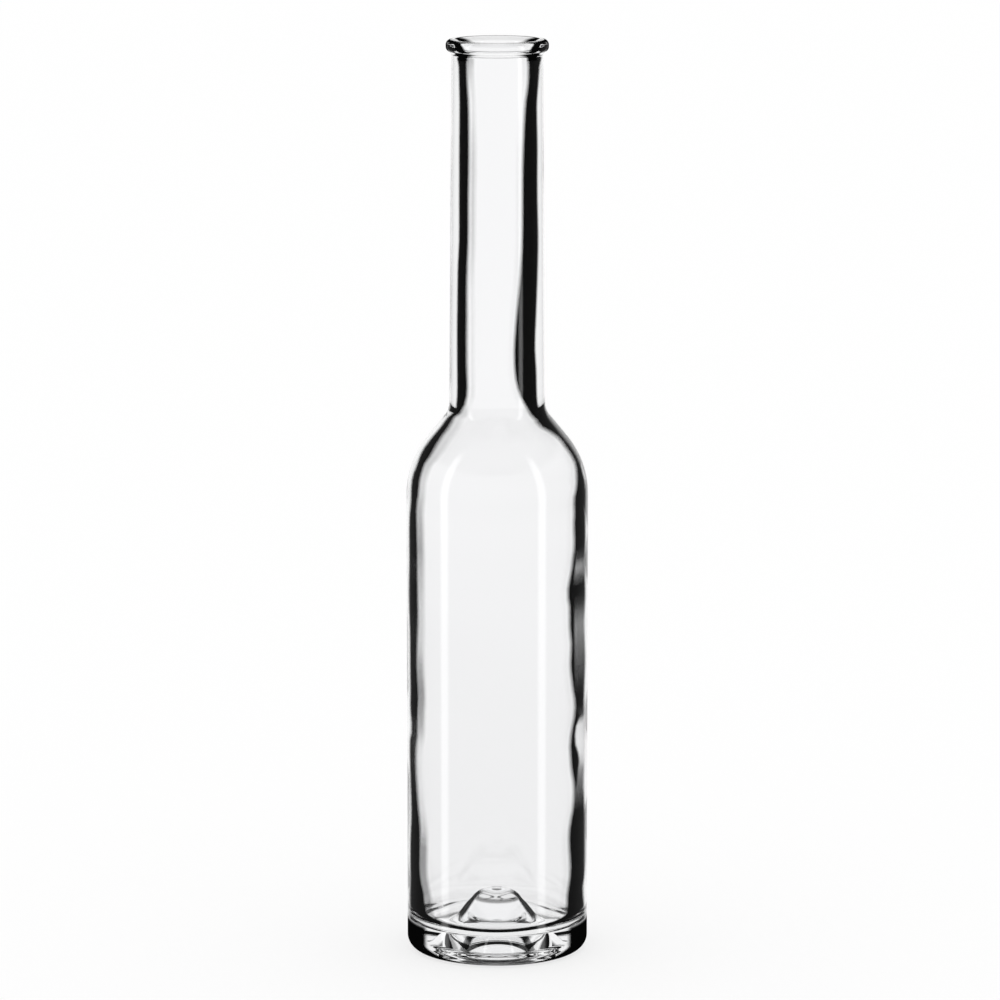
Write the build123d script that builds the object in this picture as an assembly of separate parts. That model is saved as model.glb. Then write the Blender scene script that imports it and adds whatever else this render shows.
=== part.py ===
"""A tall, slim bottle of clear glass for a 200 ml fill, with a bead lip and a plain mouth for a cork.

The bottle is one moulded piece of glass, so the model is one solid. Its frame has +Z up
along the bottle's axis, with the origin on the axis at the level that the bottle stands on.
All sizes are in millimetres. The outline is a list of sharp corners, each with the radius
that rounds it, and the solid is that outline turned about the axis.
"""

from build123d import *

import os
from dataclasses import dataclass
from math import cos, radians, tan

# Overall
total_height = 246.0
body_diameter = 48.6
body_wall = 2.2

# Base, outside: a flat bearing ring round a shallow ledge, with a push-up in its middle. The
# shares of the push-up and of the dome over it are shares of the body's diameter.
heel_radius = 3.6
bearing_width = 2.2
ledge_height = 1.3
ledge_edge_radius = 0.6
push_up_height = 8.6
push_up_foot_share = 0.494
push_up_top_share = 0.296
push_up_foot_radius = 2.0
push_up_top_radius = 3.5

# Base, inside: a floor that rises to a dome over the push-up
floor_height = 7.5
floor_edge_radius = 5.0
dome_wall = 7.6
dome_foot_share = 0.506
dome_top_share = 0.17
dome_foot_radius = 2.4
dome_top_radius = 6.5

# Shoulder: the side line and the leaning flank line would meet at the corner height
shoulder_corner_height = 133.4
shoulder_radius = 24.6
flank_lean = 39.6
flank_wall = 2.6

# Neck, a little wider at its root than under the lip
neck_root_diameter = 25.6
neck_top_diameter = 24.2
neck_root_radius = 5.5
neck_wall = 3.0

# Lip: a round bead at the very top, with an underside that slopes up and out from the neck
lip_overhang = 1.5
lip_height = 3.6
lip_side_height = 2.7
lip_round_share = 0.52
lip_root_radius = 1.0

# Mouth: a round edge over a share of the crown, a straight bore for the cork, then a gentle
# taper out to the neck's cavity, over a share of the length from the bore to the flank
mouth_round_share = 0.8
bore_diameter = 18.5
bore_depth = 30.0
taper_share = 0.375
taper_radius = 60.0

# A ring of plain pips under the base, on the ledge
pip_count = 28
pip_diameter = 1.3
pip_height = 0.35


@dataclass(frozen=True)
class Corner:
    """One corner of the outline: its radius from the axis, its height and its rounding."""

    r: float
    z: float
    rounding: float = 0


body_radius = body_diameter / 2
cavity_radius = body_radius - body_wall
neck_cavity_radius = neck_root_diameter / 2 - neck_wall
lip_outer_radius = neck_top_diameter / 2 + lip_overhang
lip_radius = lip_round_share * lip_side_height
mouth_edge_radius = mouth_round_share * (lip_outer_radius - lip_radius - bore_diameter / 2)
push_up_foot_diameter = push_up_foot_share * body_diameter
push_up_top_diameter = push_up_top_share * body_diameter
dome_foot_diameter = dome_foot_share * body_diameter
dome_top_diameter = dome_top_share * body_diameter
dome_height = push_up_height + dome_wall
bearing_inner_radius = body_radius - heel_radius - bearing_width
ledge_outer_radius = bearing_inner_radius - ledge_height
lean = radians(flank_lean)
neck_corner_height = shoulder_corner_height + (body_radius - neck_root_diameter / 2) / tan(lean)
bore_foot_height = total_height - bore_depth


def inner_flank_height(radius):
    """Height at which the flank's inner line reaches a radius."""
    outer_line_radius = radius + flank_wall / cos(lean)
    return shoulder_corner_height + (body_radius - outer_line_radius) / tan(lean)


def base_outside():
    """Push-up, ledge, bearing ring and heel, from the axis outward."""
    return [
        Corner(0, push_up_height),
        Corner(push_up_top_diameter / 2, push_up_height, push_up_top_radius),
        Corner(push_up_foot_diameter / 2, ledge_height, push_up_foot_radius),
        Corner(ledge_outer_radius, ledge_height, ledge_edge_radius),
        Corner(bearing_inner_radius, 0, ledge_edge_radius),
        Corner(body_radius, 0, heel_radius),
    ]


def shoulder_and_neck():
    """Body side, round shoulder, leaning flank and neck, going up."""
    return [
        Corner(body_radius, shoulder_corner_height, shoulder_radius),
        Corner(neck_root_diameter / 2, neck_corner_height, neck_root_radius),
        Corner(neck_top_diameter / 2, total_height - lip_height, lip_root_radius),
    ]


def lip():
    """Bead, crown and rounded mouth edge, going in over the top."""
    return [
        Corner(lip_outer_radius, total_height - lip_side_height, lip_radius),
        Corner(lip_outer_radius, total_height, lip_radius),
        Corner(bore_diameter / 2, total_height, mouth_edge_radius),
    ]


def neck_cavity():
    """Straight cork bore, taper and the neck's cavity, going down."""
    flank_height = inner_flank_height(neck_cavity_radius)
    taper_foot_height = bore_foot_height - taper_share * (bore_foot_height - flank_height)
    return [
        Corner(bore_diameter / 2, bore_foot_height, taper_radius),
        Corner(neck_cavity_radius, taper_foot_height, taper_radius),
        Corner(neck_cavity_radius, flank_height, neck_root_radius + flank_wall),
    ]


def body_cavity():
    """Inner shoulder, body wall, floor and the dome over the push-up, going down and in."""
    return [
        Corner(cavity_radius, inner_flank_height(cavity_radius), shoulder_radius - flank_wall),
        Corner(cavity_radius, floor_height, floor_edge_radius),
        Corner(dome_foot_diameter / 2, floor_height, dome_foot_radius),
        Corner(dome_top_diameter / 2, dome_height, dome_top_radius),
        Corner(0, dome_height),
    ]


def turned(corners):
    """The solid that a list of corners bounds when it is turned once about the axis."""
    rounding = [corner.rounding for corner in corners[1:-1]]
    points = [(corner.r, 0, corner.z) for corner in corners]
    outline = FilletPolyline(*points, radius=rounding)
    axis_line = Line(points[-1], points[0])
    section = make_face(outline.edges() + axis_line.edges())
    return revolve(section, Axis.Z)


def pip_ring():
    """Plain round pips that stand down from the ledge, in a ring midway across it."""
    ring_radius = (push_up_foot_diameter / 2 + push_up_foot_radius + ledge_outer_radius) / 2
    ball_radius = (pip_diameter**2 / 4 + pip_height**2) / (2 * pip_height)
    ball_height = ledge_height - pip_height + ball_radius
    places = PolarLocations(ring_radius, pip_count)
    return [place * Pos(0, 0, ball_height) * Sphere(ball_radius) for place in places]


def glass_bottle():
    """The whole bottle as one solid."""
    corners = base_outside() + shoulder_and_neck() + lip() + neck_cavity() + body_cavity()
    return turned(corners) + pip_ring()


def brimful_volume():
    """What the bottle holds when it is full to the brim, in millilitres."""
    cavity = neck_cavity() + body_cavity()
    lid = [Corner(0, total_height), Corner(bore_diameter / 2, total_height)]
    return turned(lid + cavity).volume / 1000


bottle = glass_bottle()
os.makedirs("parts", exist_ok=True)
export_step(bottle, "parts/glass_bottle.step")
print("solids", len(bottle.solids()), "valid", bottle.is_valid)
print("brimful volume, ml", round(brimful_volume(), 1))
print("glass volume, ml", round(bottle.volume / 1000, 1))
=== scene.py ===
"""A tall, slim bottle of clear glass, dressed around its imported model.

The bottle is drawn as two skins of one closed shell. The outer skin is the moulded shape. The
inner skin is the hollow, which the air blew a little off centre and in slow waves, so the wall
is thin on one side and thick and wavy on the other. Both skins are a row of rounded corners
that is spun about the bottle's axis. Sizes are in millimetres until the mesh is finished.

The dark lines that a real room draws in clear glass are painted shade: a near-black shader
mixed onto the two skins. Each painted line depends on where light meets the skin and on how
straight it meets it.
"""

import logging
from abc import ABC, abstractmethod
from dataclasses import dataclass
from enum import Enum
from math import atan2, ceil, cos, hypot, pi, radians, sin, tan

import bmesh
import bpy
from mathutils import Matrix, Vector


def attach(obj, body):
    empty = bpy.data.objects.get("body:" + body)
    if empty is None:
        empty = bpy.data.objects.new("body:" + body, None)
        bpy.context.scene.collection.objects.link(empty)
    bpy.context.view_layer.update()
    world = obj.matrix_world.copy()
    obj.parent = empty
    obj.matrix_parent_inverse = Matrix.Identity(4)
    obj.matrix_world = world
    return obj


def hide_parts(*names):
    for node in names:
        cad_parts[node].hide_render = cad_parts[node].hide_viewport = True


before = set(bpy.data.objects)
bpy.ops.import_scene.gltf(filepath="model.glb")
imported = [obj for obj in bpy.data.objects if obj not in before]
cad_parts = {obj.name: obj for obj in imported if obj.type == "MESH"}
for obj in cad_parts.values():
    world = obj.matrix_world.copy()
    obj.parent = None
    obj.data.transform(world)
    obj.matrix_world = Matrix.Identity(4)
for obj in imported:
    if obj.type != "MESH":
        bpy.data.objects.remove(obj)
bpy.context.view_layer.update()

LOG = logging.getLogger("bottle")
MM = 0.001
# Values written on the inner skin that place the painted dark line and its painted grey shade
LINE_VALUES = ("line_outer", "line_inner", "line_shade_inside", "line_lift", "line_lift_from")
WHITE = (1.0, 1.0, 1.0, 1.0)

# Where a smooth step is 0 and where it is 1
Span = tuple[float, float]


class Skin(Enum):
    """The two skins of the glass, by their material slot."""

    OUTER = 0
    INNER = 1


@dataclass(frozen=True)
class Band:
    """A stretch of some value, with soft ends.

    Args:
        start: where it starts to count.
        full: from where it counts in full.
        fading: up to where it counts in full.
        end: where it no longer counts.
    """

    start: float
    full: float
    fading: float
    end: float


@dataclass(frozen=True)
class Corner:
    """One corner of a skin's outline: radius from the axis, height and rounding."""

    r: float
    z: float
    rounding: float = 0.0

    def point(self) -> Vector:
        """The corner's place in the plane that is spun."""
        return Vector((self.r, 0.0, self.z))


@dataclass(frozen=True)
class WallSide:
    """One side of the blown wall at one height, with the painted dark line for the shade it draws.

    Args:
        extra: how much thicker than even the wall is; below zero is thinner.
        outer: how far from the axis the line ends on its outer side.
        inner: how far from the axis it ends on its inner side.
        shade_inside: how much painted grey shade lies just inside the line, from 0 to 1.
        lift: how much lighter the outer part of the painted line is, from 0 to 1.
        lift_from: how far from the axis that part starts.
    """

    extra: float
    outer: float
    inner: float
    shade_inside: float = 0.0
    lift: float = 0.0
    lift_from: float = 21.0

    def values(self) -> Vector:
        """All the values in a row."""
        return Vector((self.extra, self.outer, self.inner, self.shade_inside, self.lift, self.lift_from))


@dataclass(frozen=True)
class WallStation:
    """The blown wall at one height, on its -X and on its +X side."""

    height: float
    left: WallSide
    right: WallSide

    def at(self, turn: float) -> Vector:
        """The wall's values at a turn of 0 on the left to 1 on the right."""
        return self.left.values().lerp(self.right.values(), turn)


@dataclass(frozen=True)
class BlownWall:
    """How the wall's thickness and its painted dark line change over the bottle."""

    stations: tuple[WallStation, ...] = (
        WallStation(11, WallSide(0.0, 23.7, 19.0, 0.55), WallSide(0.0, 23.3, 18.4)),
        WallStation(16, WallSide(0.1, 23.8, 19.8, 0.59), WallSide(0.4, 22.9, 18.9)),
        WallStation(21, WallSide(-0.1, 23.6, 20.8, 0.62), WallSide(0.4, 23.6, 19.8)),
        WallStation(30, WallSide(-0.2, 23.5, 20.8, 0.65), WallSide(0.5, 23.9, 19.95)),
        WallStation(36, WallSide(-0.3, 23.3, 21.0, 0.3), WallSide(0.2, 24.0, 20.3)),
        WallStation(40, WallSide(-0.4, 23.3, 21.4, 0.17), WallSide(0.0, 23.6, 20.7)),
        WallStation(44, WallSide(-0.5, 23.4, 21.7, 0.09), WallSide(0.05, 23.2, 20.8, 0, 0.1)),
        WallStation(47, WallSide(-0.6, 23.5, 21.9, 0.05), WallSide(0.15, 23.0, 20.8, 0, 0.2, 21.5)),
        WallStation(50, WallSide(-0.7, 23.5, 21.9, 0.07), WallSide(0.3, 23.2, 20.4, 0, 0.3, 21.8)),
        WallStation(54, WallSide(-0.7, 23.4, 21.8, 0.07), WallSide(0.4, 23.1, 20.1, 0, 0.9, 22.3)),
        WallStation(58, WallSide(-0.6, 23.3, 21.5, 0.12), WallSide(0.45, 23.1, 20.0, 0, 1, 21.5)),
        WallStation(61, WallSide(-0.5, 22.7, 21.1, 0.33), WallSide(0.4, 23.3, 20.3, 0, 1, 21.4)),
        WallStation(63, WallSide(-0.4, 22.8, 21.15, 0.48), WallSide(0.35, 23.3, 20.6, 0, 1, 21.6)),
        WallStation(65.5, WallSide(-0.4, 23.1, 21.15, 0.56), WallSide(0.3, 23.5, 21.1, 0, 0.1, 22.6)),
        WallStation(69, WallSide(-0.3, 23.3, 21.1, 0.62), WallSide(0.2, 23.4, 21.3)),
        WallStation(74, WallSide(-0.4, 23.4, 21.3, 0.65), WallSide(0.2, 23.4, 20.5, 0, 0.02)),
        WallStation(80, WallSide(-0.5, 23.4, 21.55, 0.51), WallSide(0.3, 23.6, 19.85, 0, 0.12)),
        WallStation(86, WallSide(-0.6, 23.4, 21.45, 0.28), WallSide(0.4, 23.4, 20.15, 0, 0.22)),
        WallStation(91, WallSide(-0.7, 23.5, 21.2, 0.27), WallSide(0.45, 23.3, 19.8, 0, 0.3)),
        WallStation(96, WallSide(-0.7, 23.6, 21.0, 0.28), WallSide(0.5, 23.6, 19.8, 0, 0.05)),
        WallStation(100, WallSide(-0.6, 23.6, 21.1, 0.34), WallSide(0.5, 23.7, 19.3)),
        WallStation(103, WallSide(-0.6, 23.6, 21.2, 0.39), WallSide(0.45, 23.6, 19.8, 0, 0.05)),
        WallStation(106, WallSide(-0.6, 23.5, 21.2, 0.44), WallSide(0.35, 23.6, 20.5, 0, 0.45, 21.4)),
        WallStation(109, WallSide(-0.6, 23.5, 21.2, 0.5), WallSide(0.2, 23.65, 20.8, 0, 0.05, 21.5)),
        WallStation(112, WallSide(-0.6, 23.5, 21.2, 0.57), WallSide(0.1, 23.7, 21.0)),
        WallStation(118, WallSide(-0.5, 23.4, 21.3, 0.49), WallSide(0.05, 23.7, 20.8)),
        WallStation(123, WallSide(-0.4, 23.1, 21.5, 0.42), WallSide(-0.2, 23.7, 21.3)),
        WallStation(127, WallSide(-0.5, 23.0, 20.95, 0.27), WallSide(-0.7, 23.8, 21.2)),
        WallStation(130, WallSide(-0.6, 22.4, 20.4, 0.26), WallSide(-0.9, 23.05, 21.1)),
        WallStation(132, WallSide(-0.6, 21.6, 19.8, 0.3), WallSide(-1.1, 22.4, 21.0)),
        WallStation(134, WallSide(-0.7, 20.8, 19.1, 0.35), WallSide(-1.3, 22.6, 20.4)),
        WallStation(136, WallSide(-0.6, 19.9, 17.9, 0.3), WallSide(-1.5, 22.3, 19.25)),
        WallStation(138, WallSide(-0.6, 18.45, 16.85, 0.25), WallSide(-1.7, 21.3, 17.85)),
        WallStation(140, WallSide(-0.5, 16.8, 15.4, 0.22), WallSide(-1.8, 19.8, 16.4)),
        WallStation(142, WallSide(-0.5, 15.1, 13.8, 0.21), WallSide(-1.6, 18.0, 14.45)),
        WallStation(144, WallSide(-0.5, 13.6, 12.3, 0.2), WallSide(-1.1, 15.0, 12.0)),
        WallStation(146, WallSide(-0.6, 12.1, 11.0, 0.21), WallSide(-0.6, 12.0, 10.2)),
        WallStation(148, WallSide(-0.2, 11.1, 9.7, 0.21), WallSide(-0.1, 11.2, 8.7)),
        WallStation(150, WallSide(0.1, 10.7, 8.5, 0.22), WallSide(0.3, 10.6, 7.2)),
        WallStation(153, WallSide(0.3, 10.6, 8.1, 0.19), WallSide(0.8, 10.5, 5.6)),
        WallStation(158, WallSide(0.2, 10.6, 8.3, 0.15), WallSide(1.0, 10.5, 4.4)),
        WallStation(165, WallSide(0.2, 10.6, 8.4, 0.15), WallSide(1.0, 10.2, 4.0)),
        WallStation(172, WallSide(0.3, 10.6, 8.3, 0.17), WallSide(1.0, 10.4, 4.6)),
        WallStation(178, WallSide(0.3, 10.5, 8.2, 0.17), WallSide(1.0, 10.6, 5.4)),
        WallStation(185, WallSide(0.4, 10.4, 8.0, 0.28), WallSide(1.0, 10.8, 6.2)),
        WallStation(193, WallSide(0.6, 10.1, 7.7, 0.34), WallSide(0.9, 10.9, 6.6)),
        WallStation(205, WallSide(0.4, 10.1, 7.7, 0.36), WallSide(0.6, 10.7, 6.7)),
        WallStation(217, WallSide(0.0, 10.1, 7.6, 0.35), WallSide(0.0, 10.7, 6.8)),
        WallStation(229, WallSide(0.0, 10.0, 7.6, 0.2), WallSide(0.0, 10.5, 7.4)),
        WallStation(235, WallSide(0.0, 10.1, 7.9, 0.35), WallSide(0.0, 10.9, 8.2)),
        WallStation(240, WallSide(0.0, 10.2, 8.0, 0.56), WallSide(0.0, 11.2, 8.3)),
        WallStation(242.4, WallSide(0.0, 10.2, 8.0, 0.6), WallSide(0.0, 11.2, 8.2)),
        WallStation(243.2, WallSide(0.0, 7.0, 9.0), WallSide(0.0, 7.0, 9.0)),
    )

    def at(self, angle: float, height: float) -> Vector:
        """The wall's values at a place, on a smooth curve through the stations.

        Args:
            angle: direction from the axis, in radians from +X.
            height: height above the standing level.

        Returns:
            The values in the order of WallSide.
        """
        turn = (1 + cos(angle)) / 2
        rows = self.stations
        height = min(max(height, rows[0].height), rows[-1].height)
        place = max(i for i, row in enumerate(rows[:-1]) if row.height <= height)
        low, high = rows[place : place + 2]
        before = rows[max(place - 1, 0)]
        after = rows[min(place + 2, len(rows) - 1)]
        span = high.height - low.height
        share = (height - low.height) / span
        rise_low = (high.at(turn) - before.at(turn)) * (span / (high.height - before.height))
        rise_high = (after.at(turn) - low.at(turn)) * (span / (after.height - low.height))
        square, cube = share**2, share**3
        return (
            low.at(turn) * (2 * cube - 3 * square + 1)
            + rise_low * (cube - 2 * square + share)
            + high.at(turn) * (3 * square - 2 * cube)
            + rise_high * (cube - square)
        )


class Outline:
    """Draws rows of rounded corners as wires in the plane that is spun."""

    arc_step = radians(4.5)
    least_turn = radians(0.1)

    def __init__(self, mesh: bmesh.types.BMesh) -> None:
        """Keep the mesh that the wires are drawn in."""
        self.mesh = mesh

    def rounded(
        self, before: Corner, corner: Corner, after: Corner
    ) -> list[bmesh.types.BMVert]:
        """Round one corner by spinning a vertex along its arc.

        Args:
            before: the corner that the outline comes from.
            corner: the corner to round.
            after: the corner that the outline goes to.

        Returns:
            The arc's vertices in order, or the one vertex of a sharp corner.
        """
        middle = corner.point()
        arriving = (middle - before.point()).normalized()
        leaving = (after.point() - middle).normalized()
        turn = arriving.angle(leaving)
        if not corner.rounding or turn < self.least_turn:
            return [self.mesh.verts.new(middle)]
        reach = corner.rounding * tan(turn / 2)
        inward = (leaving - arriving).normalized()
        first = self.mesh.verts.new(middle - arriving * reach)
        known = set(self.mesh.verts)
        bmesh.ops.spin(
            self.mesh,
            geom=[first],
            cent=middle + inward * corner.rounding / cos(turn / 2),
            axis=arriving.cross(leaving).normalized(),
            angle=turn,
            steps=max(1, ceil(turn / self.arc_step)),
        )
        return [first] + [vert for vert in self.mesh.verts if vert not in known]

    def draw(self, corners: list[Corner], longest: float) -> None:
        """Draw one outline and divide its long runs.

        Args:
            corners: its corners in order; the two end ones stay sharp.
            longest: the longest run that isn't divided.
        """
        last = self.mesh.verts.new(corners[0].point())
        for before, corner, after in zip(corners, corners[1:], corners[2:]):
            arc = self.rounded(before, corner, after)
            self.mesh.edges.new((last, arc[0]))
            last = arc[-1]
        self.mesh.edges.new((last, self.mesh.verts.new(corners[-1].point())))
        while runs := [edge for edge in self.mesh.edges if edge.calc_length() > longest]:
            cuts = ceil(runs[0].calc_length() / longest)
            bmesh.ops.subdivide_edges(self.mesh, edges=runs[:1], cuts=cuts)


@dataclass
class BottleShape:
    """Sizes of the bottle's outside and of its even hollow.

    The foot and top of the push-up and of the dome, and the root and top of the neck, are
    given by their radii.
    """

    total_height: float = 246.0
    body_radius: float = 24.3
    body_wall: float = 2.2
    heel_radius: float = 3.6
    bearing_width: float = 2.2
    ledge_height: float = 1.3
    ledge_edge_radius: float = 0.6
    push_up_height: float = 8.6
    push_up_foot: float = 12.0
    push_up_top: float = 7.2
    push_up_foot_radius: float = 2.0
    push_up_top_radius: float = 3.5
    floor_height: float = 7.5
    floor_edge_radius: float = 5.0
    dome_height: float = 16.2
    dome_foot: float = 12.3
    dome_top: float = 4.13
    dome_foot_radius: float = 2.4
    dome_top_radius: float = 6.5
    shoulder_height: float = 133.4
    shoulder_radius: float = 24.6
    flank_lean: float = radians(39.6)
    flank_wall: float = 2.6
    neck_root: float = 12.8
    neck_top: float = 12.1
    neck_root_radius: float = 5.5
    neck_wall: float = 3.0
    lip_overhang: float = 1.5
    lip_height: float = 3.6
    lip_side_height: float = 2.7
    lip_radius: float = 1.4
    lip_root_radius: float = 1.0
    bore_radius: float = 9.25
    bore_depth: float = 30.0
    mouth_edge_radius: float = 2.36
    taper_length: float = 26.0
    taper_radius: float = 60.0
    pip_count: int = 28
    pip_radius: float = 0.65
    pip_height: float = 0.3

    @property
    def ledge_outer(self) -> float:
        """Radius at which the ledge turns down to the bearing ring."""
        return self.bearing_inner - self.ledge_height

    @property
    def bearing_inner(self) -> float:
        """Inner radius of the ring that the bottle stands on."""
        return self.body_radius - self.heel_radius - self.bearing_width

    @property
    def crown_middle(self) -> float:
        """Radius halfway across the flat of the lip, where the two skins meet."""
        outer = self.neck_top + self.lip_overhang - self.lip_radius
        return (outer + self.bore_radius + self.mouth_edge_radius) / 2

    def flank_height(self, radius: float) -> float:
        """Height at which the flank's outer line reaches a radius."""
        return self.shoulder_height + (self.body_radius - radius) / tan(self.flank_lean)

    def inner_flank_height(self, radius: float) -> float:
        """Height at which the flank's inner line reaches a radius."""
        return self.flank_height(radius + self.flank_wall / cos(self.flank_lean))

    def outside(self) -> list[Corner]:
        """The moulded skin.

        Returns:
            Its corners, from the middle of the push-up out and up to the crown.
        """
        lip_foot = self.total_height - self.lip_height
        lip_outer = self.neck_top + self.lip_overhang
        return [
            Corner(0, self.push_up_height),
            Corner(self.push_up_top, self.push_up_height, self.push_up_top_radius),
            Corner(self.push_up_foot, self.ledge_height, self.push_up_foot_radius),
            Corner(self.ledge_outer, self.ledge_height, self.ledge_edge_radius),
            Corner(self.bearing_inner, 0, self.ledge_edge_radius),
            Corner(self.body_radius, 0, self.heel_radius),
            Corner(self.body_radius, self.shoulder_height, self.shoulder_radius),
            Corner(self.neck_root, self.flank_height(self.neck_root), self.neck_root_radius),
            Corner(self.neck_top, lip_foot, self.lip_root_radius),
            Corner(lip_outer, self.total_height - self.lip_side_height, self.lip_radius),
            Corner(lip_outer, self.total_height, self.lip_radius),
            Corner(self.crown_middle, self.total_height),
        ]

    def inside(self) -> list[Corner]:
        """The blown skin, as it would be if its wall were even.

        Returns:
            Its corners, from the crown down the bore to the top of the dome.
        """
        bore_foot = self.total_height - self.bore_depth
        neck_hollow = self.neck_root - self.neck_wall
        body_hollow = self.body_radius - self.body_wall
        neck_flank = self.inner_flank_height(neck_hollow)
        body_flank = self.inner_flank_height(body_hollow)
        return [
            Corner(self.crown_middle, self.total_height),
            Corner(self.bore_radius, self.total_height, self.mouth_edge_radius),
            Corner(self.bore_radius, bore_foot, self.taper_radius),
            Corner(neck_hollow, bore_foot - self.taper_length, self.taper_radius),
            Corner(neck_hollow, neck_flank, self.neck_root_radius + self.flank_wall),
            Corner(body_hollow, body_flank, self.shoulder_radius - self.flank_wall),
            Corner(body_hollow, self.floor_height, self.floor_edge_radius),
            Corner(self.dome_foot, self.floor_height, self.dome_foot_radius),
            Corner(self.dome_top, self.dome_height, self.dome_top_radius),
            Corner(0, self.dome_height),
        ]


class Nodes:
    """A node tree under construction."""

    def __init__(self, tree: bpy.types.NodeTree) -> None:
        """Start with an empty tree."""
        self.tree = tree
        tree.nodes.clear()

    def add(
        self, kind: str, settings: dict | None = None, inputs: dict | None = None
    ) -> bpy.types.Node:
        """Make any node.

        Args:
            kind: the node's type.
            settings: its properties by name, which are set first.
            inputs: for each socket, by name or place, a number, a colour, a Value or a socket.

        Returns:
            The node.
        """
        node = self.tree.nodes.new(kind)
        for name, value in (settings or {}).items():
            setattr(node, name, value)
        for name, value in (inputs or {}).items():
            if isinstance(value, Value):
                self.tree.links.new(value.socket, node.inputs[name])
            elif isinstance(value, bpy.types.NodeSocket):
                self.tree.links.new(value, node.inputs[name])
            else:
                node.inputs[name].default_value = value
        return node

    def value(self, socket: bpy.types.NodeSocket) -> "Value":
        """Wrap an output socket for arithmetic."""
        return Value(self, socket)

    def axes(self, vector: bpy.types.NodeSocket) -> tuple["Value", ...]:
        """The three parts of a vector."""
        parts = self.add("ShaderNodeSeparateXYZ", {}, {0: vector}).outputs
        return tuple(self.value(part) for part in parts)

    def attribute(self, name: str) -> "Value":
        """A number that is written on the mesh."""
        return self.value(self.add("ShaderNodeAttribute", {"attribute_name": name}).outputs["Fac"])


class Value:
    """An output socket on which Python's operators add Math nodes."""

    def __init__(self, nodes: Nodes, socket: bpy.types.NodeSocket) -> None:
        """Keep the socket and the tree that it belongs to."""
        self.nodes = nodes
        self.socket = socket

    def math(self, operation: str, *others: "Value | float") -> "Value":
        """A Math node on this value and others.

        Args:
            operation: the node's operation.
            others: its other inputs.

        Returns:
            What it gives.
        """
        inputs = dict(enumerate((self, *others)))
        node = self.nodes.add("ShaderNodeMath", {"operation": operation}, inputs)
        return Value(self.nodes, node.outputs[0])

    def __add__(self, other: "Value | float") -> "Value":
        """This value plus another."""
        return self.math("ADD", other)

    def __mul__(self, other: "Value | float") -> "Value":
        """This value times another."""
        return self.math("MULTIPLY", other)

    def __sub__(self, other: "Value | float") -> "Value":
        """This value less another."""
        return self.math("SUBTRACT", other)

    def __rsub__(self, other: float) -> "Value":
        """A number less this value."""
        return self.math("MULTIPLY_ADD", -1.0, other)

    def __truediv__(self, other: "Value | float") -> "Value":
        """This value over another."""
        return self.math("DIVIDE", other)

    def __rtruediv__(self, other: float) -> "Value":
        """A number over this value."""
        return self.math("POWER", -1.0) * other

    def root(self) -> "Value":
        """The square root of this value."""
        return self.math("SQRT")

    def size(self) -> "Value":
        """This value without its sign."""
        return self.math("ABSOLUTE")

    def at_most(self, limit: float) -> "Value":
        """This value, or the limit where that is smaller."""
        return self.math("MINIMUM", limit)

    def at_least(self, limit: "Value | float") -> "Value":
        """This value, or the limit where that is greater."""
        return self.math("MAXIMUM", limit)

    def blend(self, low: float, high: float) -> "Value":
        """From low, where this value is 0, to high, where it is 1."""
        return self.math("MULTIPLY_ADD", high - low, low)

    def ease(self, start: "Value | float", end: "Value | float") -> "Value":
        """A smooth step of this value.

        Args:
            start: where the step is 0, which may be above the end.
            end: where it is 1.

        Returns:
            The step.
        """
        settings = {"interpolation_type": "SMOOTHSTEP"}
        inputs = {"Value": self, "From Min": start, "From Max": end}
        node = self.nodes.add("ShaderNodeMapRange", settings, inputs)
        return Value(self.nodes, node.outputs["Result"])

    def within(self, band: Band) -> "Value":
        """1 inside a band and 0 outside it."""
        return self.ease(band.start, band.full) * self.ease(band.end, band.fading)

    __radd__ = __add__
    __rmul__ = __mul__


class Meeting:
    """Where and how light meets a skin of the glass, in millimetres.

    How straight it meets the skin goes from 0, where it grazes the skin, to 1, where it comes
    head on. Light in the glass and light in the air are told apart by 0 and 1.
    """

    steepest = 0.95

    def __init__(self, nodes: Nodes, index: float) -> None:
        """Add the nodes that measure it.

        Args:
            nodes: the material's tree.
            index: the glass's refractive index.
        """
        self.nodes = nodes
        self.index = index
        facing = nodes.add("ShaderNodeLayerWeight", {}, {"Blend": 0.5}).outputs["Facing"]
        self.straight = 1 - nodes.value(facing)
        self.x, self.y, z = nodes.axes(nodes.add("ShaderNodeTexCoord").outputs["Object"])
        self.height = z / MM
        self.in_glass = nodes.value(nodes.add("ShaderNodeNewGeometry").outputs["Backfacing"])
        self.in_air = 1 - self.in_glass

    def radius(self) -> Value:
        """How far from the axis light meets the skin."""
        return (self.x * self.x + self.y * self.y).root() / MM

    def offset(self) -> Value:
        """How far from the axis the light passes on its way, as it meets the skin at a slant."""
        slant = (1 - self.straight * self.straight).root()
        return slant * self.radius() * self.index

    def sideways(self, lean: Value) -> Value:
        """How straight light meets a round rim, with the skin's lean up or down left out.

        Args:
            lean: how far the skin faces up, from -1 to 1.

        Returns:
            The cosine as it would be if the skin stood upright.
        """
        lean = lean.at_most(self.steepest).at_least(-self.steepest)
        return self.straight / (1 - lean * lean).root()


class PaintedShade(ABC):
    """Painted shade on the glass: a dark mark that stands for the shade a dark room would show in it.

    Heights and distances are in millimetres. Slants say how straight light meets the skin,
    from 0 to 1.
    """

    @abstractmethod
    def mask(self, light: Meeting) -> Value:
        """The mark's mask.

        Args:
            light: how light meets the skin.

        Returns:
            The mask, 1 where the shade is painted and 0 where the glass is clear.
        """


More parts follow.
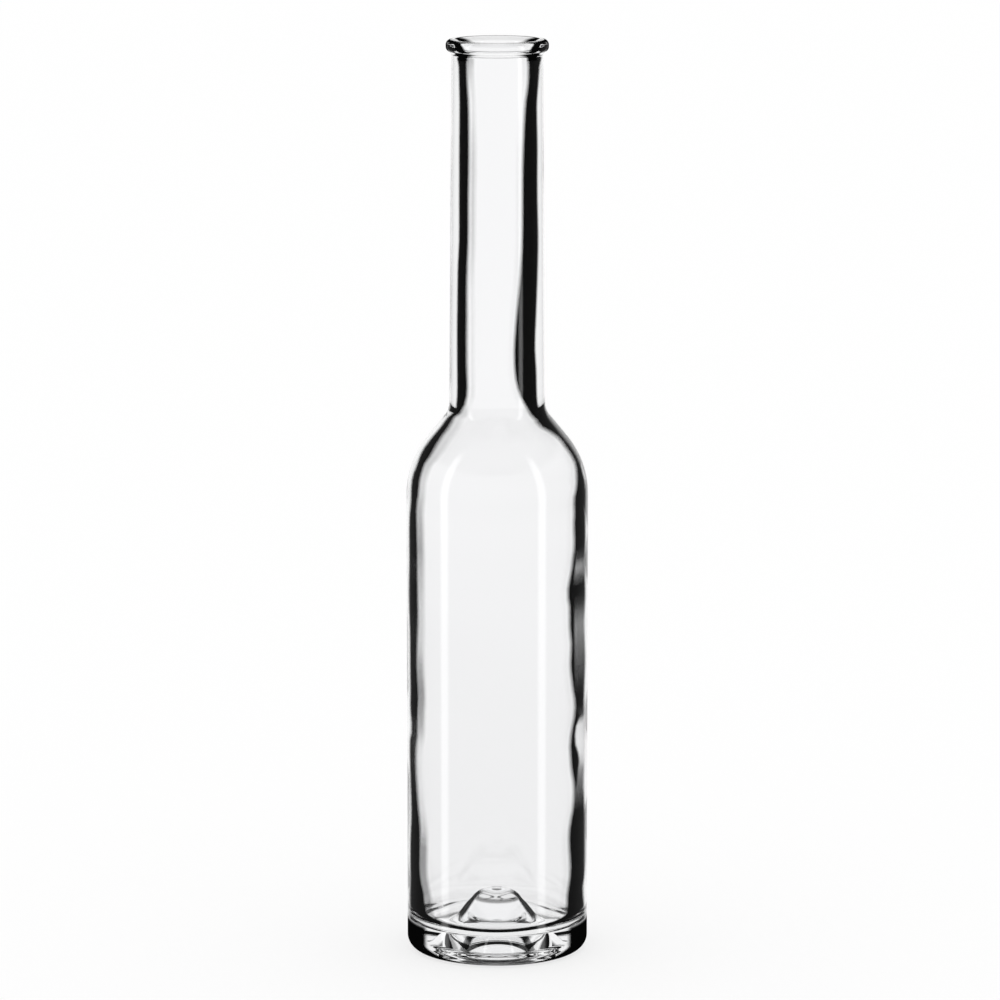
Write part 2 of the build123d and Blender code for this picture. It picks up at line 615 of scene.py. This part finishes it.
@dataclass(frozen=True)
class WallLine(PaintedShade):
    """The painted dark line that stands for the shade that the hollow's wall draws.

    How far from the axis light passes tells whether it falls in the line. The line's two sides
    are written on the mesh, with how grey the painted shade just inside it is and how much
    lighter its outer part is.
    """

    edge: float = 0.35
    fade: Span = (-0.72, 0.39)
    shade_inside_band: Band = Band(-2.3, -1.0, 0.0, 0.35)

    def mask(self, light: Meeting) -> Value:
        """The line and its haze.

        Args:
            light: how light meets the skin.

        Returns:
            The mask.
        """
        outer, inner, shade_inside, lift, lift_from = map(light.nodes.attribute, LINE_VALUES)
        offset = light.offset()
        past_inner = offset - inner
        start, end = self.fade
        rise = ((past_inner - start) / (end - start)).at_most(1.0).at_least(0.0)
        # Painted shade: the dark line, lighter in its outer part, and grey shade just inside it
        line = offset.ease(outer + self.edge, outer - self.edge) * rise
        lighter = offset.ease(lift_from - self.edge, lift_from + self.edge) * lift
        beside = past_inner.within(self.shade_inside_band) * shade_inside
        return (line * (1 - lighter)).at_least(beside) * light.in_glass


@dataclass(frozen=True)
class DomeArcs(PaintedShade):
    """Painted shade: dark arcs on the two sides of the dome in the base, and a dark ring round its
    top.
    """

    heights: Band = Band(8.5, 10.0, 15.0, 16.0)
    slants: Band = Band(0.05, 0.12, 0.42, 0.52)
    reach: Span = (13.5, 12.5)
    ring_heights: Band = Band(13.3, 13.8, 14.2, 14.7)
    ring_level: float = 0.65

    def mask(self, light: Meeting) -> Value:
        """The painted arcs and ring.

        Args:
            light: how light meets the skin.

        Returns:
            The mask.
        """
        arcs = light.height.within(self.heights) * light.straight.within(self.slants)
        ring = light.height.within(self.ring_heights) * self.ring_level
        return arcs.at_least(ring) * light.radius().ease(*self.reach) * light.in_air


@dataclass(frozen=True)
class MouthEdge(PaintedShade):
    """Painted shade: a dark line along the round edge of the mouth, with painted grey on top."""

    middle_height: float = 243.64
    radius: float = 2.36
    heights: Span = (243.7, 244.6)
    slants: Span = (0.85, 0.60)
    top_heights: Span = (244.6, 245.2)
    top_level: float = 0.12
    grazing: Span = (0.09, 0.12)

    def mask(self, light: Meeting) -> Value:
        """The painted line and its painted grey top.

        Args:
            light: how light meets the skin.

        Returns:
            The mask.
        """
        turn = light.sideways((light.height - self.middle_height) / self.radius)
        edge = turn.ease(*self.slants) * light.height.ease(*self.heights)
        top = light.height.ease(*self.top_heights) * self.top_level
        return edge.at_least(top) * light.straight.ease(*self.grazing) * light.in_air


@dataclass(frozen=True)
class BaseCorners(PaintedShade):
    """Painted shade in the corners of the solid base."""

    heel_radius: float = 3.6
    heights: Band = Band(0.2, 0.5, 8.2, 9.8)
    slants: Span = (0.62, 0.54)

    def mask(self, light: Meeting) -> Value:
        """The painted corner shade.

        Args:
            light: how light meets the skin.

        Returns:
            The mask.
        """
        below_side = light.height.at_most(self.heel_radius) - self.heel_radius
        turn = light.sideways(below_side / self.heel_radius)
        return light.height.within(self.heights) * turn.ease(*self.slants) * light.in_air


@dataclass(frozen=True)
class LipEnds(PaintedShade):
    """Painted shade at the ends of the bead: a dark patch, a dark outline round it and a dark band on
    top.
    """

    upper_middle: float = 244.6
    lower_middle: float = 244.09
    radius: float = 1.4
    lowest_lean: float = -0.857
    heights: Band = Band(243.0, 243.2, 245.96, 246.01)
    patch_slants: Band = Band(0.55, 0.59, 0.73, 0.78)
    outline_slants: Span = (0.30, 0.20)
    top_shade_heights: Span = (245.3, 245.6)
    top_shade_slants: Span = (0.80, 0.72)

    def mask(self, light: Meeting) -> Value:
        """The painted patch, outline and dark band on top.

        Args:
            light: how light meets the skin.

        Returns:
            The mask.
        """
        above = (light.height - self.upper_middle).at_least(0.0)
        below = (light.height - self.lower_middle).at_most(0.0)
        turn = light.sideways(((above + below) / self.radius).at_least(self.lowest_lean))
        top_shade = light.height.ease(*self.top_shade_heights) * turn.ease(*self.top_shade_slants)
        painted_marks = turn.within(self.patch_slants) + turn.ease(*self.outline_slants) + top_shade
        return painted_marks * light.height.within(self.heights) * light.in_air


@dataclass(frozen=True)
class LipFoot(PaintedShade):
    """Painted shade: dark wedges under the bead's ends, and where they run on down the neck."""

    root_height: float = 241.83
    root_radius: float = 1.0
    lowest_lean: float = -0.857
    wedge_heights: Band = Band(241.9, 242.1, 243.0, 243.2)
    wedge_slants: Band = Band(0.30, 0.38, 0.70, 0.82)
    neck_heights: Band = Band(240.9, 241.1, 242.0, 242.2)
    neck_slants: Band = Band(0.46, 0.54, 0.72, 0.78)

    def mask(self, light: Meeting) -> Value:
        """The painted wedges and what runs on from them.

        Args:
            light: how light meets the skin.

        Returns:
            The mask.
        """
        lean = (self.root_height - light.height) / self.root_radius
        turn = light.sideways(lean.at_least(self.lowest_lean))
        wedge = light.height.within(self.wedge_heights) * turn.within(self.wedge_slants)
        neck = light.height.within(self.neck_heights) * light.straight.within(self.neck_slants)
        return (wedge + neck) * light.in_air


@dataclass(frozen=True)
class ClearGlass:
    """Clear glass with painted shade: dark marks that stand for what it shows against a bright
    ground.
    """

    index: float = 1.52
    tint: tuple[float, float, float] = (0.985, 0.986, 0.99)
    painted_shade_colour: tuple[float, float, float] = (0.002, 0.002, 0.002)
    painted_shade_roughness: float = 0.4
    outer_painted_shade: tuple[PaintedShade, ...] = (BaseCorners(), LipEnds(), LipFoot())
    inner_painted_shade: tuple[PaintedShade, ...] = (WallLine(), DomeArcs(), MouthEdge())

    def dressed(self, skin: Skin) -> bpy.types.Material:
        """The material of one skin.

        Args:
            skin: the skin that it is for.

        Returns:
            The material.
        """
        material = bpy.data.materials.new(f"clear_glass_{skin.name.lower()}")
        material.use_nodes = True
        nodes = Nodes(material.node_tree)
        clear = {
            "Base Color": (*self.tint, 1.0),
            "Roughness": 0.0,
            "IOR": self.index,
            "Transmission Weight": 1.0,
        }
        # A near-black shader, mixed in as painted shade wherever the masks say
        dark = {
            "Base Color": (*self.painted_shade_colour, 1.0),
            "Roughness": self.painted_shade_roughness,
            "Specular IOR Level": 0.0,
        }
        glass = nodes.add("ShaderNodeBsdfPrincipled", {}, clear).outputs[0]
        painted_shade_shader = nodes.add("ShaderNodeBsdfPrincipled", {}, dark).outputs[0]
        light = Meeting(nodes, self.index)
        painted_marks = self.inner_painted_shade if skin is Skin.INNER else self.outer_painted_shade
        # The masks of painted shade on this skin, added together
        first, *others = (each.mask(light) for each in painted_marks)
        mask = sum(others, start=first).at_most(1.0)
        surface = nodes.add("ShaderNodeMixShader", {}, {0: mask, 1: glass, 2: painted_shade_shader}).outputs[0]
        nodes.add("ShaderNodeOutputMaterial", {}, {"Surface": surface})
        return material


@dataclass
class GlassBottle:
    """The bottle: its two skins, its uneven wall and its finish."""

    shape: BottleShape
    wall: BlownWall
    finish: ClearGlass
    steps: int = 224
    outer_run: float = 4.0
    inner_run: float = 2.6
    weld: float = 0.002
    ledge_slack: float = 0.01

    def build(self) -> bpy.types.Object:
        """Make the whole bottle as one closed shell.

        Returns:
            The bottle's object.
        """
        mesh = bmesh.new()
        self.add_skin(mesh, Skin.OUTER, self.shape.outside(), self.outer_run)
        self.add_skin(mesh, Skin.INNER, self.shape.inside(), self.inner_run)
        bmesh.ops.remove_doubles(mesh, verts=mesh.verts, dist=self.weld)
        bmesh.ops.recalc_face_normals(mesh, faces=mesh.faces)
        self.blow_hollow(mesh)
        self.press_pips(mesh)
        bmesh.ops.scale(mesh, vec=(MM, MM, MM), verts=mesh.verts)
        data = bpy.data.meshes.new("bottle_glass")
        mesh.to_mesh(data)
        mesh.free()
        for skin in Skin:
            data.materials.append(self.finish.dressed(skin))
        piece = bpy.data.objects.new("bottle_glass", data)
        bpy.context.scene.collection.objects.link(piece)
        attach(piece, "root")
        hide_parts("glass_bottle")
        return piece

    def add_skin(
        self, mesh: bmesh.types.BMesh, skin: Skin, corners: list[Corner], longest: float
    ) -> None:
        """Draw one skin's outline and spin it about the axis.

        Args:
            mesh: the mesh to add to.
            skin: which skin it is, for its material.
            corners: its outline.
            longest: the longest straight run that isn't divided.
        """
        shell = bmesh.new()
        Outline(shell).draw(corners, longest)
        bmesh.ops.spin(
            shell,
            geom=shell.verts[:] + shell.edges[:],
            cent=(0, 0, 0),
            axis=(0, 0, 1),
            angle=2 * pi,
            steps=self.steps,
            use_merge=True,
        )
        for face in shell.faces:
            face.material_index = skin.value
            face.smooth = True
        data = bpy.data.meshes.new("skin")
        shell.to_mesh(data)
        shell.free()
        mesh.from_mesh(data)
        bpy.data.meshes.remove(data)

    def hollow_verts(self, mesh: bmesh.types.BMesh) -> list[bmesh.types.BMVert]:
        """The vertices that the wall's unevenness moves.

        Args:
            mesh: the whole bottle.

        Returns:
            The vertices that belong to the inner skin alone.
        """
        return [
            vert
            for vert in mesh.verts
            if all(face.material_index == Skin.INNER.value for face in vert.link_faces)
        ]

    def blow_hollow(self, mesh: bmesh.types.BMesh) -> None:
        """Move the hollow's wall in or out, and write on it where its painted dark line goes.

        Args:
            mesh: the whole bottle; the middle of its dome stays still.
        """
        for name in LINE_VALUES:
            mesh.verts.layers.float.new(name)
        layers = [mesh.verts.layers.float[name] for name in LINE_VALUES]
        still_radius = self.shape.dome_foot / 2
        for vert in self.hollow_verts(mesh):
            x, y, z = vert.co
            extra, *line = self.wall.at(atan2(y, x), z)
            for layer, value in zip(layers, line):
                vert[layer] = value
            radius = hypot(x, y)
            if radius > still_radius:
                vert.co.x -= extra * x / radius
                vert.co.y -= extra * y / radius

    def press_pips(self, mesh: bmesh.types.BMesh) -> None:
        """Press a ring of plain round pips down from the ledge under the base.

        Args:
            mesh: the whole bottle.
        """
        shape = self.shape
        ring = (shape.push_up_foot + shape.push_up_foot_radius + shape.ledge_outer) / 2
        pitch = 2 * pi / shape.pip_count
        for vert in mesh.verts:
            x, y, z = vert.co
            if abs(z - shape.ledge_height) > self.ledge_slack:
                continue
            nearest = round(atan2(y, x) / pitch) * pitch
            away = hypot(x - ring * cos(nearest), y - ring * sin(nearest))
            if away < shape.pip_radius:
                vert.co.z -= shape.pip_height * cos(away / shape.pip_radius * pi / 2) ** 2


@dataclass
class PaperFloor:
    """A plain pale disc that the bottle stands on, in metres."""

    radius: float = 9.0
    sides: int = 96
    paper: float = 0.99
    painted_shadow_level: float = 0.92
    painted_shadow_fade: Span = (0.03, 1.0)
    seen_glow: float = 0.7

    def build(self) -> None:
        """Make the disc."""
        mesh = bmesh.new()
        bmesh.ops.create_circle(mesh, cap_ends=True, segments=self.sides, radius=self.radius)
        data = bpy.data.meshes.new("studio_floor")
        mesh.to_mesh(data)
        mesh.free()
        data.materials.append(self.finish())
        floor = bpy.data.objects.new("studio_floor", data)
        floor.visible_glossy = False
        bpy.context.scene.collection.objects.link(floor)

    def finish(self) -> bpy.types.Material:
        """Paper that also glows, mostly to the camera, and wholly to light through the glass; that
        glow is dimmer near the bottle, as a painted shadow that fades out by a metre away.

        Returns:
            The material.
        """
        material = bpy.data.materials.new("studio_floor")
        material.use_nodes = True
        nodes = Nodes(material.node_tree)
        paper = nodes.add("ShaderNodeBsdfDiffuse", {}, {"Color": (*[self.paper] * 3, 1.0)})
        place = nodes.add("ShaderNodeTexCoord").outputs["Object"]
        length = nodes.add("ShaderNodeVectorMath", {"operation": "LENGTH"}, {0: place})
        away = nodes.value(length.outputs["Value"])
        # Painted shadow: the glow that the glass passes on is dimmer near the bottle
        level = away.ease(*self.painted_shadow_fade).blend(self.painted_shadow_level, 1.0)
        path = nodes.add("ShaderNodeLightPath").outputs
        rays = ("Is Camera Ray", "Is Transmission Ray", "Is Glossy Ray")
        seen, refracted, mirrored = (nodes.value(path[name]) for name in rays)
        through = (refracted + mirrored).at_most(1.0)
        strength = level * (1 - seen) + seen
        glow = nodes.add("ShaderNodeEmission", {}, {"Color": WHITE, "Strength": strength})
        share = seen * self.seen_glow + through * (1 - seen)
        shaders = {0: share, 1: paper.outputs[0], 2: glow.outputs[0]}
        mix = nodes.add("ShaderNodeMixShader", {}, shaders)
        nodes.add("ShaderNodeOutputMaterial", {}, {"Surface": mix.outputs[0]})
        return material


@dataclass
class BrightRoom:
    """A room that is white all round and dark high up.

    What the glass mirrors of it is dim, but for the part behind the bottle and two strips.
    Bearings are in radians from straight behind the bottle. Strip tops and the ceiling's fade
    go from 0, which is level, to 1, which is straight up.
    """

    mirror_level: float = 0.10
    mirror_fade: Span = (0.62, 0.40)
    strip_bearings: tuple[float, ...] = (radians(-109.2), radians(121.3))
    strip_half: float = 0.04
    strip_fade: float = 0.11
    strip_level: float = 2.4
    strip_top: Span = (0.80, 0.60)
    ceiling_level: float = 0.03
    ceiling_fade: Span = (0.62, 0.42)

    def build(self) -> None:
        """Light the room."""
        world = bpy.data.worlds.new("studio_room")
        bpy.context.scene.world = world
        world.use_nodes = True
        nodes = Nodes(world.node_tree)
        x, y, z = nodes.axes(nodes.add("ShaderNodeTexCoord").outputs["Generated"])
        bearing = x.math("ARCTAN2", y)
        mirrored = bearing.size().ease(*self.mirror_fade).blend(self.mirror_level, 1.0)
        below_top = z.ease(*self.strip_top)
        for strip in self.strip_bearings:
            off = (bearing - strip).size()
            bright = off.ease(self.strip_half + self.strip_fade, self.strip_half)
            mirrored = mirrored + bright * self.strip_level * below_top
        room = z.ease(*self.ceiling_fade).blend(self.ceiling_level, 1.0)
        path = nodes.add("ShaderNodeLightPath").outputs
        rays = ("Is Glossy Ray", "Is Transmission Ray")
        glossy, through = (nodes.value(path[name]) for name in rays)
        outward = glossy * mirrored + (1 - glossy)
        strength = through * room + (1 - through) * outward
        light = nodes.add("ShaderNodeBackground", {}, {"Color": WHITE, "Strength": strength})
        nodes.add("ShaderNodeOutputWorld", {}, {"Surface": light.outputs[0]})


@dataclass
class StudioCamera:
    """A camera that looks down on the bottle's foot by 15 degrees and on its lip by 5."""

    distance: float = 1.3646
    height: float = 0.3656
    pitch: float = radians(10.089)
    shift: float = 0.0027
    lens: float = 186.62
    nearest: float = 0.05
    farthest: float = 60.0

    def build(self) -> None:
        """Put the camera in its place."""
        data = bpy.data.cameras.new("studio_camera")
        data.lens = self.lens
        data.shift_x = self.shift
        data.clip_start = self.nearest
        data.clip_end = self.farthest
        camera = bpy.data.objects.new("studio_camera", data)
        camera.location = (0.0, -self.distance, self.height)
        camera.rotation_euler = (radians(90) - self.pitch, 0.0, 0.0)
        bpy.context.scene.collection.objects.link(camera)
        bpy.context.scene.camera = camera


@dataclass
class Studio:
    """Everything that isn't the bottle."""

    floor: PaperFloor
    room: BrightRoom
    camera: StudioCamera

    def build(self) -> None:
        """Make the floor, the room and the camera."""
        for part in (self.floor, self.room, self.camera):
            part.build()


def main() -> None:
    """Build the studio and the bottle, and report each piece."""
    logging.basicConfig(level=logging.INFO, format="%(message)s")
    Studio(PaperFloor(), BrightRoom(), StudioCamera()).build()
    LOG.info("studio ready")
    bottle = GlassBottle(BottleShape(), BlownWall(), ClearGlass()).build()
    LOG.info("%s: %d faces", bottle.name, len(bottle.data.polygons))
    scene = bpy.context.scene
    scene.view_settings.view_transform = "Standard"


if __name__ == "__main__":
    main()
